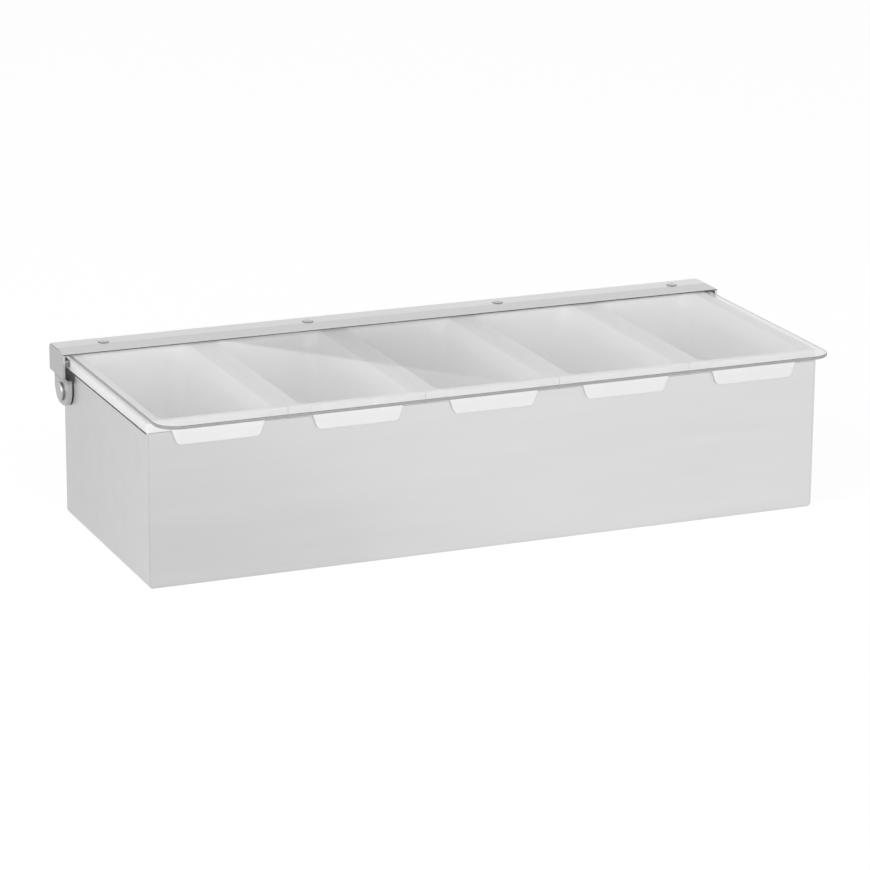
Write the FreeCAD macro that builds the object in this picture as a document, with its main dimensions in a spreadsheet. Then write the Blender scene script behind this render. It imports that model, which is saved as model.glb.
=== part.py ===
import FreeCAD, Part
import math
import os
import Sketcher

# Bar condiment holder: a folded steel case, five lift-out trays and a hinged clear lid.
# Millimetres, +Z up, +X along the case to the right, -Y towards the person who uses it.
# The origin is the centre of the case's base, on the surface that it stands on.

# Driving dimensions: name, size in millimetres, what it measures
SIZES = (
    ("box_length", 455.0, "outside length of the case"),
    ("box_depth", 165.6, "outside depth of the case"),
    ("box_height", 98.5, "height of the case to its open edge"),
    ("case_sheet", 1.0, "thickness of the case's sheet"),
    ("case_bend", 2.0, "inside radius of the case's bends"),
    ("side_relief", 0.7, "how far the case's sides stop below the front and rear panels"),
    ("notch_run", 22.8, "length of the relief notch at a rear top corner"),
    ("notch_drop", 9.0, "depth of the relief notch below the open edge"),
    ("notch_round", 8.0, "radius in the corner of the relief notch"),
    ("tray_gap", 0.15, "gap between the rims of two trays"),
    ("rim_height", 6.1, "height of a tray's rim above the case"),
    ("rim_sheet", 3.0, "thickness of the top of a tray's rim"),
    ("rim_width", 8.7, "width of a tray's rim at its left and right"),
    ("rim_round", 0.4, "rounding along the rim's outer top edge"),
    ("lip_round", 1.0, "rounding along the rim's inner top edge"),
    ("rim_corner", 0.7, "radius of the rim's outer corners"),
    ("skirt_sheet", 1.8, "thickness of the rim's downturned skirt"),
    ("skirt_corner", 0.8, "radius of the skirt's inner corners"),
    ("skirt_round", 0.6, "rounding along the skirt's lower outer edge"),
    ("mouth_depth", 12.0, "depth of the flare below a tray's rim"),
    ("mouth_side_flare", 4.5, "how far a tray's sides open out over the flare"),
    ("mouth_end_flare", 1.0, "how far a tray's ends open out over the flare"),
    ("mouth_corner", 5.0, "radius of the mouth's corners at the rim"),
    ("tray_wall", 1.6, "thickness of a tray's walls and floor"),
    ("tray_clearance", 0.6, "gap between a tray's ends and the case"),
    ("tray_height", 92.0, "height of a tray from its floor's underside to its rim"),
    ("tray_side_draw", 3.0, "how far a tray's side wall draws in at the floor"),
    ("tray_end_draw", 4.0, "how far a tray's end wall draws in at the floor"),
    ("tray_corner", 11.0, "inside radius of a tray's upright corners"),
    ("floor_round", 7.0, "inside radius round a tray's floor"),
    ("tab_sheet", 1.6, "thickness of a tray's grip tab"),
    ("tab_clearance", 0.2, "gap between a grip tab and the case"),
    ("tab_drop", 8.5, "how far a grip tab hangs below the case's edge"),
    ("tab_width", 53.0, "width of a grip tab along its lower edge"),
    ("tab_flare", 3.0, "how much wider each side of a tab is at the case's edge"),
    ("tab_corner", 4.0, "radius of a grip tab's lower corners"),
    ("tab_round", 0.5, "rounding round the face of a grip tab"),
    ("lid_gap", 2.4, "gap between the rims and the lid's sheet"),
    ("lid_sheet", 2.0, "thickness of the lid's sheet"),
    ("lid_side_inset", 0.3, "how far the sheet stops short of the case's sides"),
    ("lid_front_reach", 25.8, "how far the sheet passes the case's front"),
    ("lid_corner", 14.0, "radius of the sheet's front corners"),
    ("lid_rear_corner", 3.0, "radius of the sheet's rear corners"),
    ("lid_rear_gap", 0.7, "gap between the sheet and the rail's web"),
    ("lid_round", 0.4, "rounding along the sheet's polished edges"),
    ("rail_sheet", 1.6, "thickness of the rail's sheet"),
    ("rail_bend", 0.4, "inside radius of the rail's bends"),
    ("rail_depth", 30.6, "depth of the rail, front to back"),
    ("rail_rear_reach", 16.4, "how far the rail passes the case's back"),
    ("rail_end_reach", 5.2, "how far the rail passes the case's sides"),
    ("rail_crease", 15.0, "width of the sloped front half of the rail's top"),
    ("rail_slope", 0.9, "drop of the sloped half at its front edge"),
    ("web_height", 14.0, "height of the rail's rear web"),
    ("flap_height", 17.0, "height of the rail's end flaps"),
    ("flap_corner", 1.5, "radius of the free corners of flaps and web"),
    ("rivet_diameter", 4.0, "shank of a lid rivet"),
    ("rivet_head", 7.6, "diameter of a lid rivet's head"),
    ("rivet_dome", 1.3, "height of a lid rivet's head"),
    ("rivet_tail", 6.4, "diameter of a lid rivet's closed tail"),
    ("rivet_close", 1.0, "height of a lid rivet's closed tail"),
    ("washer_diameter", 8.0, "diameter of a rivet washer"),
    ("washer_sheet", 0.5, "thickness of a rivet washer"),
    ("pin_diameter", 5.0, "shank of a hinge pin"),
    ("pin_head", 12.0, "diameter of a hinge pin's head"),
    ("pin_dome", 2.0, "height of a hinge pin's head"),
    ("pin_head_round", 1.1, "rounding of a hinge pin's head"),
    ("pin_tail", 6.4, "diameter of a hinge pin's closed tail"),
    ("pin_close", 1.0, "height of a hinge pin's closed tail"),
    ("pin_setback", 4.8, "distance of the pins from the case's back"),
    ("pin_drop", 15.1, "distance of the pins below the case's open edge"),
    ("spacer_diameter", 11.0, "diameter of the washer between ear and case"),
    ("collar_diameter", 7.4, "diameter of the collar inside the case"),
    ("collar_sheet", 1.2, "thickness of the collar inside the case"),
    ("ear_sheet", 3.0, "thickness of an ear plate"),
    ("ear_width", 28.0, "width of an ear plate"),
    ("ear_drop", 8.6, "how far an ear reaches below its pin"),
    ("ear_corner", 11.5, "radius of an ear's lower corners"),
    ("ear_lap", 12.4, "how far an ear laps up inside its flap"),
    ("ear_lap_inset", 1.0, "inset of the lap from the flap's front edge"),
    ("ear_slot_depth", 8.0, "depth of the relief slot in the lap's front edge"),
    ("ear_slot_height", 7.4, "height of the relief slot above the ear's shoulder"),
    ("ear_lap_corner", 2.0, "radius of the lap's upper corners"),
    ("hole_clearance", 0.05, "radial clearance of a shank in its hole"),
    ("axial_clearance", 0.1, "running gap beside an ear"),
    ("overrun", 5.0, "how far every cut runs past the solid"),
)
TRAY_COUNT = 5
# Places of the lid's rivets, as shares of the rail's half length, from left to right
RIVET_PLACE_SHARES = (-0.857, -0.253, 0.332, 0.890)
# Place of the rivet row, as a share of the rail's depth from its front edge
RIVET_ROW_SHARE = 0.60
# Levels of the sections of a tray's flare, as shares of its depth, from the rim down
FLARE_SHARES = (1, 0.67, 0.33, 0)
# Two places count as the same within this share of the case's length
MATCH_SHARE = 1e-6

# Levels and lines that several pieces share, as formulas of the sheet
HALF_LENGTH = "(Sizes.box_length / 2)"
HALF_DEPTH = "(Sizes.box_depth / 2)"
TOP = "Sizes.box_height"
RIM_TOP = f"({TOP} + Sizes.rim_height)"
LID_UNDER = f"({RIM_TOP} + Sizes.lid_gap)"
LID_TOP = f"({LID_UNDER} + Sizes.lid_sheet)"
RAIL_TOP = f"({LID_TOP} + Sizes.rail_sheet)"
RAIL_HALF = f"({HALF_LENGTH} + Sizes.rail_end_reach)"
RAIL_BACK = f"({HALF_DEPTH} + Sizes.rail_rear_reach)"
RAIL_FRONT = f"({RAIL_BACK} - Sizes.rail_depth)"
RAIL_FOLD = "(Sizes.rail_bend + Sizes.rail_sheet)"
FLAP_FOOT = f"({RAIL_TOP} - Sizes.flap_height)"
EAR_OUTER = f"({RAIL_HALF} - Sizes.rail_sheet)"
EAR_INNER = f"({EAR_OUTER} - Sizes.ear_sheet)"
PIN_Y = f"({HALF_DEPTH} - Sizes.pin_setback)"
PIN_Z = f"({TOP} - Sizes.pin_drop)"
PIN_HOLE = "(Sizes.pin_diameter + 2 * Sizes.hole_clearance)"
RIVET_HOLE = "(Sizes.rivet_diameter + 2 * Sizes.hole_clearance)"
RIVET_Y = f"({RAIL_FRONT} + {RIVET_ROW_SHARE} * Sizes.rail_depth)"

doc = FreeCAD.newDocument("CondimentHolder")


def make_sheet():
    """Writes the driving dimensions into a spreadsheet with an alias for each."""
    table = doc.addObject("Spreadsheet::Sheet", "Sizes")
    for row, (name, size, meaning) in enumerate(SIZES, 1):
        table.set(f"A{row}", name)
        table.set(f"B{row}", str(size))
        table.set(f"C{row}", meaning)
        table.setAlias(f"B{row}", name)
    doc.recompute()
    return table


sheet = make_sheet()


def value(formula):
    """Gives the present number of a formula of the sheet."""
    result = sheet.evalExpression(formula)
    return float(getattr(result, "Value", result))


MATCH = value("Sizes.box_length") * MATCH_SHARE


def new_body(name):
    """Makes an empty body whose label names its file."""
    body = doc.addObject("PartDesign::Body", name)
    body.Label = name
    return body


def new_sketch(body, name, role, level):
    """Attaches an empty sketch to one of the body's origin planes, at a level along its normal."""
    sketch = body.newObject("Sketcher::SketchObject", name)
    plane = [item for item in body.Origin.OriginFeatures if item.Role == role][0]
    sketch.AttachmentSupport = (plane, [""])
    sketch.MapMode = "FlatFace"
    sketch.setExpression("AttachmentOffset.Base.z", level)
    return sketch


def bind(sketch, kind, line, point, formula, name):
    """Holds a point of a sketch at a distance from the origin that follows a formula."""
    number = sketch.addConstraint(Sketcher.Constraint(kind, -1, 1, line, point, value(formula)))
    sketch.renameConstraint(number, name)
    sketch.setExpression(f"Constraints.{name}", formula)


def outline(body, name, role, level, corners):
    """Draws a closed outline of straight lines through corners given as pairs of formulas."""
    sketch = new_sketch(body, name, role, level)
    points = [FreeCAD.Vector(value(across), value(up), 0) for across, up in corners]
    count = len(points)
    for index, start in enumerate(points):
        sketch.addGeometry(Part.LineSegment(start, points[(index + 1) % count]), False)
    for index in range(count):
        sketch.addConstraint(Sketcher.Constraint("Coincident", index, 2, (index + 1) % count, 1))
    for index, (across, up) in enumerate(corners):
        bind(sketch, "DistanceX", index, 1, across, f"across_{index}")
        bind(sketch, "DistanceY", index, 1, up, f"up_{index}")
    return sketch


def rounded_outline(body, name, level, *loops):
    """Draws centred rectangles with round corners, each given by half width, half depth and radius."""
    sketch = new_sketch(body, name, "XY_Plane", level)
    normal = FreeCAD.Vector(0, 0, 1)
    quarter = math.pi / 2
    for loop, (half_x, half_y, radius) in enumerate(loops):
        first = sketch.GeometryCount
        size = value(radius)
        arcs = []
        for turn, (sign_x, sign_y) in enumerate((("", "-"), ("", ""), ("-", ""), ("-", "-"))):
            across, up = f"{sign_x}({half_x} - {radius})", f"{sign_y}({half_y} - {radius})"
            centre = FreeCAD.Vector(value(across), value(up), 0)
            circle = Part.Circle(centre, normal, size)
            arc = Part.ArcOfCircle(circle, quarter * (turn - 1), quarter * turn)
            sketch.addGeometry(arc, False)
            arcs.append((arc, across, up))
        for turn in range(4):
            start, end = arcs[turn][0].EndPoint, arcs[(turn + 1) % 4][0].StartPoint
            sketch.addGeometry(Part.LineSegment(start, end), False)
        for turn, (arc, across, up) in enumerate(arcs):
            corner, side = first + turn, first + 4 + turn
            bind(sketch, "DistanceX", corner, 3, across, f"across_{loop}_{turn}")
            bind(sketch, "DistanceY", corner, 3, up, f"up_{loop}_{turn}")
            number = sketch.addConstraint(Sketcher.Constraint("Radius", corner, size))
            sketch.renameConstraint(number, f"round_{loop}_{turn}")
            sketch.setExpression(f"Constraints.round_{loop}_{turn}", radius)
            sketch.addConstraint(Sketcher.Constraint("Tangent", corner, 2, side, 1))
            sketch.addConstraint(Sketcher.Constraint("Tangent", side, 2, first + (turn + 1) % 4, 1))
    return sketch


def rings(body, name, role, level, centres, diameter):
    """Draws circles of one diameter round centres given as pairs of formulas."""
    sketch = new_sketch(body, name, role, level)
    normal = FreeCAD.Vector(0, 0, 1)
    for index, (across, up) in enumerate(centres):
        centre = FreeCAD.Vector(value(across), value(up), 0)
        sketch.addGeometry(Part.Circle(centre, normal, value(diameter) / 2), False)
        bind(sketch, "DistanceX", index, 3, across, f"across_{index}")
        bind(sketch, "DistanceY", index, 3, up, f"up_{index}")
        size = sketch.addConstraint(Sketcher.Constraint("Diameter", index, value(diameter)))
        sketch.renameConstraint(size, f"size_{index}")
        sketch.setExpression(f"Constraints.size_{index}", diameter)
    return sketch


def rectangle(left, right, low, high):
    """Gives the corners of an upright rectangle."""
    return ((left, low), (right, low), (right, high), (left, high))


def pad(body, sketch, length):
    """Adds material from a sketch along its normal."""
    feature = body.newObject("PartDesign::Pad", f"{sketch.Name}_pad")
    feature.Profile = sketch
    feature.setExpression("Length", length)
    doc.recompute()
    return feature


def pocket(body, sketch, length, along_normal=True):
    """Cuts a sketch away along its normal, or against it, and makes sure that it cut."""
    before = body.Tip.Shape.Volume
    feature = body.newObject("PartDesign::Pocket", f"{sketch.Name}_pocket")
    feature.Profile = sketch
    feature.Reversed = along_normal
    feature.setExpression("Length", length)
    doc.recompute()
    if feature.Shape.Volume >= before:
        raise RuntimeError(f"{feature.Name} cut nothing")
    return feature


def loft(body, kind, name, sections, straight=True):
    """Joins sections from the top down, by straight walls or smooth ones, as material or as a cut."""
    feature = body.newObject(f"PartDesign::{kind}", name)
    feature.Profile = sections[0]
    feature.Sections = sections[1:]
    feature.Ruled = straight
    doc.recompute()
    return feature


def at(place, *formulas):
    """Tells whether a number lies at one of several places."""
    return any(abs(place - value(formula)) < MATCH for formula in formulas)


def edges_at(shape, x=(), y=(), z=()):
    """Names the edges that stay at the given places along each axis that is named."""
    names = []
    for number, edge in enumerate(shape.Edges, 1):
        box = edge.BoundBox
        spans = ((box.XMin, box.XMax, x), (box.YMin, box.YMax, y), (box.ZMin, box.ZMax, z))
        if all(not places or (high - low < MATCH and at(low, *places)) for low, high, places in spans):
            names.append(f"Edge{number}")
    return names


def fillet(body, name, radius, names):
    """Rounds named edges of the body's last feature."""
    base = body.Tip
    feature = body.newObject("PartDesign::Fillet", name)
    feature.Base = (base, names)
    feature.setExpression("Radius", radius)
    doc.recompute()
    return feature


def along_y(place):
    """Gives the level of a place on Y for a sketch on the XZ plane, whose normal is -Y."""
    return f"-({place})"


def case_wrap():
    """Left side, bottom and right side of the case, folded from one sheet."""
    body = new_body("case_wrap")
    inner = f"({HALF_LENGTH} - Sizes.case_sheet)"
    rear = f"({HALF_DEPTH} - Sizes.case_sheet)"
    side_top = f"({TOP} - Sizes.side_relief)"
    corners = ((f"-{HALF_LENGTH}", "0"), (HALF_LENGTH, "0"), (HALF_LENGTH, side_top), (inner, side_top),
               (inner, "Sizes.case_sheet"), (f"-{inner}", "Sizes.case_sheet"),
               (f"-{inner}", side_top), (f"-{HALF_LENGTH}", side_top))
    profile = outline(body, "wrap_profile", "XZ_Plane", along_y(rear), corners)
    pad(body, profile, f"2 * {rear}")
    outer_bends = edges_at(body.Tip.Shape, x=(HALF_LENGTH, f"-{HALF_LENGTH}"), z=("0",))
    fillet(body, "wrap_outer_bends", "Sizes.case_bend + Sizes.case_sheet", outer_bends)
    inner_bends = edges_at(body.Tip.Shape, x=(inner, f"-{inner}"), z=("Sizes.case_sheet",))
    fillet(body, "wrap_inner_bends", "Sizes.case_bend", inner_bends)

    # Relief notches at the rear top corners, then the holes for the hinge pins
    start = f"-({HALF_LENGTH} + Sizes.overrun)"
    through = "Sizes.box_length + 2 * Sizes.overrun"
    notch_front = f"({HALF_DEPTH} - Sizes.notch_run)"
    notch_floor = f"({TOP} - Sizes.notch_drop)"
    notch = rectangle(notch_front, f"{HALF_DEPTH} + Sizes.overrun", notch_floor, f"{TOP} + Sizes.overrun")
    pocket(body, outline(body, "wrap_notch", "YZ_Plane", start, notch), through)
    corner = edges_at(body.Tip.Shape, y=(notch_front,), z=(notch_floor,))
    fillet(body, "wrap_notch_corners", "Sizes.notch_round", corner)
    pocket(body, rings(body, "wrap_pin_holes", "YZ_Plane", start, ((PIN_Y, PIN_Z),), PIN_HOLE), through)
    return body


def end_panel(name, face):
    """Front or rear sheet of the case, with the fold's outline along its foot."""
    body = new_body(name)
    corners = rectangle(f"-{HALF_LENGTH}", HALF_LENGTH, "0", TOP)
    pad(body, outline(body, f"{name}_outline", "XZ_Plane", along_y(face), corners), "Sizes.case_sheet")
    feet = edges_at(body.Tip.Shape, x=(HALF_LENGTH, f"-{HALF_LENGTH}"), z=("0",))
    fillet(body, f"{name}_corners", "Sizes.case_bend + Sizes.case_sheet", feet)
    return body


def insert_tray(number):
    """One lift-out tray: drawn-in walls, a skirted rim and a grip tab over the case's front."""
    name = f"insert_{number}"
    body = new_body(name)
    pitch = f"(Sizes.box_length / {TRAY_COUNT})"
    body.setExpression("Placement.Base.x", f"({number} - ({TRAY_COUNT} + 1) / 2) * {pitch}")
    rim_half = f"(({pitch} - Sizes.tray_gap) / 2)"
    bottom = f"({RIM_TOP} - Sizes.tray_height)"
    floor = f"({bottom} + Sizes.tray_wall)"

    mouth_x = f"({rim_half} - Sizes.rim_width)"
    mouth_y = f"({HALF_DEPTH} - Sizes.case_sheet - Sizes.tray_clearance - Sizes.tray_wall)"
    throat_x = f"({mouth_x} - Sizes.mouth_side_flare)"
    throat_y = f"({mouth_y} - Sizes.mouth_end_flare)"
    throat = f"({RIM_TOP} - Sizes.mouth_depth)"
    floor_x = f"({throat_x} - Sizes.tray_side_draw)"
    floor_y = f"({throat_y} - Sizes.tray_end_draw)"
    wall_top = f"({RIM_TOP} - Sizes.rim_sheet)"

    # Rim: a flange with a skirt that stands on the front and rear panels
    skirt = "Sizes.skirt_sheet"
    rim = (rim_half, HALF_DEPTH, "Sizes.rim_corner")
    under = (f"({rim_half} - {skirt})", f"({HALF_DEPTH} - {skirt})", "Sizes.skirt_corner")
    pad(body, rounded_outline(body, f"{name}_flange", wall_top, rim), "Sizes.rim_sheet")
    pad(body, rounded_outline(body, f"{name}_skirt", TOP, rim, under), "Sizes.rim_height - Sizes.rim_sheet")
    skirt_feet = edges_at(body.Tip.Shape, x=(rim_half, f"-{rim_half}"), z=(TOP,))
    fillet(body, f"{name}_skirt_foot", "Sizes.skirt_round", skirt_feet)

    # Walls and floor as a block, then the hollow inside them and its smooth flare up to the rim
    wall = "Sizes.tray_wall"
    mouth = (mouth_x, mouth_y, "Sizes.mouth_corner")
    neck = (throat_x, throat_y, "Sizes.tray_corner")
    base = (floor_x, floor_y, "Sizes.tray_corner")
    walls = ((wall_top, mouth), (f"({throat} - {wall})", neck), (bottom, base))
    loft(body, "AdditiveLoft", f"{name}_walls",
         [rounded_outline(body, f"{name}_wall_{index}", level, [f"({size} + {wall})" for size in section])
          for index, (level, section) in enumerate(walls)])
    loft(body, "SubtractiveLoft", f"{name}_hollow",
         [rounded_outline(body, f"{name}_hollow_{index}", level, section)
          for index, (level, section) in enumerate(((throat, neck), (floor, base)))])
    flare = []
    for index, share in enumerate(FLARE_SHARES):
        level = f"({throat} + {share} * Sizes.mouth_depth)"
        section = [f"({low} + {share}^2 * ({high} - {low}))" for low, high in zip(neck, mouth)]
        flare.append(rounded_outline(body, f"{name}_flare_{index}", level, section))
    loft(body, "SubtractiveLoft", f"{name}_flare", flare, straight=False)
    fillet(body, f"{name}_floor_edge", "Sizes.floor_round", edges_at(body.Tip.Shape, z=(floor,)))
    fillet(body, f"{name}_foot", f"Sizes.floor_round + {wall}", edges_at(body.Tip.Shape, z=(bottom,)))
    lip = edges_at(body.Tip.Shape, x=(mouth_x, f"-{mouth_x}"), z=(RIM_TOP,))
    fillet(body, f"{name}_lip", "Sizes.lip_round", lip)
    rim_edges = edges_at(body.Tip.Shape, x=(rim_half, f"-{rim_half}"), z=(RIM_TOP,))
    fillet(body, f"{name}_rim_edges", "Sizes.rim_round", rim_edges)

    # Grip tab: a root on the rim's face, and the plate that hangs in front of the case
    tab_top = f"({RIM_TOP} - Sizes.rim_round)"
    tab_foot = f"({TOP} - Sizes.tab_drop)"
    foot_half = "(Sizes.tab_width / 2)"
    edge_half = f"({foot_half} + Sizes.tab_flare)"
    top_half = f"({foot_half} + Sizes.tab_flare * ({tab_top} - {tab_foot}) / Sizes.tab_drop)"
    root_back = f"({HALF_DEPTH} - Sizes.skirt_sheet / 2)"
    plate_back = f"({HALF_DEPTH} + Sizes.tab_clearance)"
    root = ((f"-{edge_half}", TOP), (edge_half, TOP), (top_half, tab_top), (f"-{top_half}", tab_top))
    pad(body, outline(body, f"{name}_tab_root", "XZ_Plane", root_back, root),
        f"{plate_back} + Sizes.tab_sheet / 2 - {root_back}")
    plate = ((f"-{foot_half}", tab_foot), (foot_half, tab_foot),
             (top_half, tab_top), (f"-{top_half}", tab_top))
    pad(body, outline(body, f"{name}_tab_plate", "XZ_Plane", plate_back, plate), "Sizes.tab_sheet")
    fillet(body, f"{name}_tab_corners", "Sizes.tab_corner",
           edges_at(body.Tip.Shape, x=(foot_half, f"-{foot_half}"), z=(tab_foot,)))
    face = f"-({plate_back} + Sizes.tab_sheet)"
    fillet(body, f"{name}_tab_face", "Sizes.tab_round", edges_at(body.Tip.Shape, y=(face,)))
    return body


def rivet_centres():
    """Gives the places of the lid's rivets as pairs of formulas."""
    return tuple((f"{share} * {RAIL_HALF}", RIVET_Y) for share in RIVET_PLACE_SHARES)


def lid_panel():
    """Clear sheet of the lid, drilled for the rivets."""
    body = new_body("lid_panel")
    half = f"({HALF_LENGTH} - Sizes.lid_side_inset)"
    front = f"-({HALF_DEPTH} + Sizes.lid_front_reach)"
    rear = f"({RAIL_BACK} - Sizes.rail_sheet - Sizes.lid_rear_gap)"
    corners = rectangle(f"-{half}", half, front, rear)
    pad(body, outline(body, "lid_outline", "XY_Plane", LID_UNDER, corners), "Sizes.lid_sheet")
    fillet(body, "lid_front_corners", "Sizes.lid_corner",
           edges_at(body.Tip.Shape, x=(half, f"-{half}"), y=(front,)))
    fillet(body, "lid_rear_corners", "Sizes.lid_rear_corner",
           edges_at(body.Tip.Shape, x=(half, f"-{half}"), y=(rear,)))
    fillet(body, "lid_edges", "Sizes.lid_round", edges_at(body.Tip.Shape, z=(LID_UNDER, LID_TOP)))
    holes = rings(body, "lid_rivet_holes", "XY_Plane", f"{LID_UNDER} - Sizes.overrun",
                  rivet_centres(), RIVET_HOLE)
    pocket(body, holes, "Sizes.lid_sheet + 2 * Sizes.overrun")
    return body


def hinge_rail():
    """Folded rail along the lid's back: top strip, rear web and an end flap at each side."""
    body = new_body("hinge_rail")
    under = f"({RAIL_TOP} - Sizes.rail_sheet)"
    web_front = f"({RAIL_BACK} - Sizes.rail_sheet)"
    web_foot = f"({RAIL_TOP} - Sizes.web_height)"
    web_half = f"({RAIL_HALF} - {RAIL_FOLD})"
    strip_back = f"({RAIL_BACK} - {RAIL_FOLD})"
    flap_inner = f"({RAIL_HALF} - Sizes.rail_sheet)"
    bent = ((RAIL_FRONT, under), (web_front, under), (web_front, web_foot), (RAIL_BACK, web_foot),
            (RAIL_BACK, RAIL_TOP), (RAIL_FRONT, RAIL_TOP))
    pad(body, outline(body, "rail_web", "YZ_Plane", f"-{web_half}", bent), f"2 * {web_half}")
    strip = ((f"-{RAIL_HALF}", FLAP_FOOT), (f"-{flap_inner}", FLAP_FOOT), (f"-{flap_inner}", under),
             (flap_inner, under), (flap_inner, FLAP_FOOT), (RAIL_HALF, FLAP_FOOT),
             (RAIL_HALF, RAIL_TOP), (f"-{RAIL_HALF}", RAIL_TOP))
    pad(body, outline(body, "rail_strip", "XZ_Plane", along_y(strip_back), strip),
        f"{strip_back} - {RAIL_FRONT}")

    # Bends of the web and of the flaps, outside and inside
    fillet(body, "rail_web_bend", RAIL_FOLD, edges_at(body.Tip.Shape, y=(RAIL_BACK,), z=(RAIL_TOP,)))
    fillet(body, "rail_web_inner_bend", "Sizes.rail_bend",
           edges_at(body.Tip.Shape, y=(web_front,), z=(under,)))
    ends = (RAIL_HALF, f"-{RAIL_HALF}")
    fillet(body, "rail_flap_bends", RAIL_FOLD, edges_at(body.Tip.Shape, x=ends, z=(RAIL_TOP,)))
    inner_ends = (flap_inner, f"-{flap_inner}")
    fillet(body, "rail_flap_inner_bends", "Sizes.rail_bend",
           edges_at(body.Tip.Shape, x=inner_ends, z=(under,)))
    fillet(body, "rail_flap_corners", "Sizes.flap_corner",
           edges_at(body.Tip.Shape, y=(strip_back,), z=(FLAP_FOOT,)))
    fillet(body, "rail_web_corners", "Sizes.flap_corner",
           edges_at(body.Tip.Shape, x=(web_half, f"-{web_half}"), z=(web_foot,)))

    # Sloped front half of the top, which presses the rail's front edge on the sheet
    slope = ((RAIL_FRONT, f"{RAIL_TOP} - Sizes.rail_slope"), (f"{RAIL_FRONT} + Sizes.rail_crease", RAIL_TOP),
             (f"{RAIL_FRONT} + Sizes.rail_crease", f"{RAIL_TOP} + Sizes.overrun"),
             (f"{RAIL_FRONT} - Sizes.overrun", f"{RAIL_TOP} + Sizes.overrun"),
             (f"{RAIL_FRONT} - Sizes.overrun", f"{RAIL_TOP} - Sizes.rail_slope"))
    cut = outline(body, "rail_crease_cut", "YZ_Plane", f"-({RAIL_HALF} + Sizes.overrun)", slope)
    pocket(body, cut, f"2 * ({RAIL_HALF} + Sizes.overrun)")
    holes = rings(body, "rail_rivet_holes", "XY_Plane", f"{under} - Sizes.overrun",
                  rivet_centres(), RIVET_HOLE)
    pocket(body, holes, "Sizes.rail_sheet + 2 * Sizes.overrun")
    return body


def cylinder(name, diameter, height, place):
    """Makes an upright cylinder at a place given as three formulas."""
    solid = doc.addObject("Part::Cylinder", name)
    solid.setExpression("Radius", f"({diameter}) / 2")
    solid.setExpression("Height", height)
    for axis, formula in zip("xyz", place):
        solid.setExpression(f"Placement.Base.{axis}", formula)
    return solid


def lid_rivets():
    """Four domed rivets that clamp the rail to the sheet, closed under a washer."""
    rivets = []
    washer_under = f"({LID_UNDER} - Sizes.washer_sheet)"
    tail_under = f"({washer_under} - Sizes.rivet_close)"
    head_half = "(Sizes.rivet_head / 2)"
    ball = f"(({head_half}^2 + Sizes.rivet_dome^2) / (2 * Sizes.rivet_dome))"
    for number, (across, depth) in enumerate(rivet_centres(), 1):
        name = f"rivet_{number}"
        shank = cylinder(f"{name}_shank", "Sizes.rivet_diameter", f"{RAIL_TOP} - {tail_under}",
                         (across, depth, tail_under))
        tail = cylinder(f"{name}_tail", "Sizes.rivet_tail", "Sizes.rivet_close", (across, depth, tail_under))
        head = doc.addObject("Part::Sphere", f"{name}_head")
        head.setExpression("Radius", ball)
        head.setExpression("Angle1", f"asin(({ball} - Sizes.rivet_dome) / {ball})")
        for axis, formula in zip("xyz", (across, depth, f"{RAIL_TOP} + Sizes.rivet_dome - {ball}")):
            head.setExpression(f"Placement.Base.{axis}", formula)
        rivet = doc.addObject("Part::MultiFuse", name)
        rivet.Shapes = [shank, tail, head]
        rivets.append(rivet)
    return group("lid_rivets", rivets)


def rivet_washers():
    """Four washers between the sheet and the rivets' closed tails."""
    washers = []
    low = f"({LID_UNDER} - Sizes.washer_sheet)"
    for number, (across, depth) in enumerate(rivet_centres(), 1):
        name = f"washer_{number}"
        disc = cylinder(f"{name}_disc", "Sizes.washer_diameter", "Sizes.washer_sheet", (across, depth, low))
        hole = cylinder(f"{name}_hole", RIVET_HOLE, "Sizes.washer_sheet + 2 * Sizes.overrun",
                        (across, depth, f"{low} - Sizes.overrun"))
        washers.append(cut_out(name, disc, hole))
    return group("rivet_washers", washers)


def cut_out(name, base, tool):
    """Cuts one solid out of another."""
    solid = doc.addObject("Part::Cut", name)
    solid.Base = base
    solid.Tool = tool
    return solid


def group(name, members):
    """Keeps separate solids together in one node."""
    node = doc.addObject("Part::Compound", name)
    node.Label = name
    node.Links = members
    return node


def hinge_ear(side, sign):
    """Ear plate lapped inside an end flap, with a relief slot above its shoulder and a rounded foot."""
    name = f"hinge_ear_{side}"
    body = new_body(name)
    half = "(Sizes.ear_width / 2)"
    front, back = f"({PIN_Y} - {half})", f"({PIN_Y} + {half})"
    foot = f"({PIN_Z} - Sizes.ear_drop)"
    lap_front = f"({RAIL_FRONT} + Sizes.ear_lap_inset)"
    lap_top = f"({FLAP_FOOT} + Sizes.ear_lap)"
    slot_back = f"({lap_front} + Sizes.ear_slot_depth)"
    slot_top = f"({FLAP_FOOT} + Sizes.ear_slot_height)"
    corners = ((front, foot), (back, foot), (back, lap_top), (lap_front, lap_top), (lap_front, slot_top),
               (slot_back, slot_top), (slot_back, FLAP_FOOT), (front, FLAP_FOOT))
    start = EAR_INNER if sign > 0 else f"-{EAR_OUTER}"
    pad(body, outline(body, f"{name}_outline", "YZ_Plane", start, corners), "Sizes.ear_sheet")
    fillet(body, f"{name}_foot", "Sizes.ear_corner", edges_at(body.Tip.Shape, y=(front, back), z=(foot,)))
    fillet(body, f"{name}_lap", "Sizes.ear_lap_corner",
           edges_at(body.Tip.Shape, y=(lap_front, back), z=(lap_top,)))
    hole = rings(body, f"{name}_hole", "YZ_Plane", f"{start} - Sizes.overrun", ((PIN_Y, PIN_Z),), PIN_HOLE)
    pocket(body, hole, "Sizes.ear_sheet + 2 * Sizes.overrun")
    return body


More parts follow.
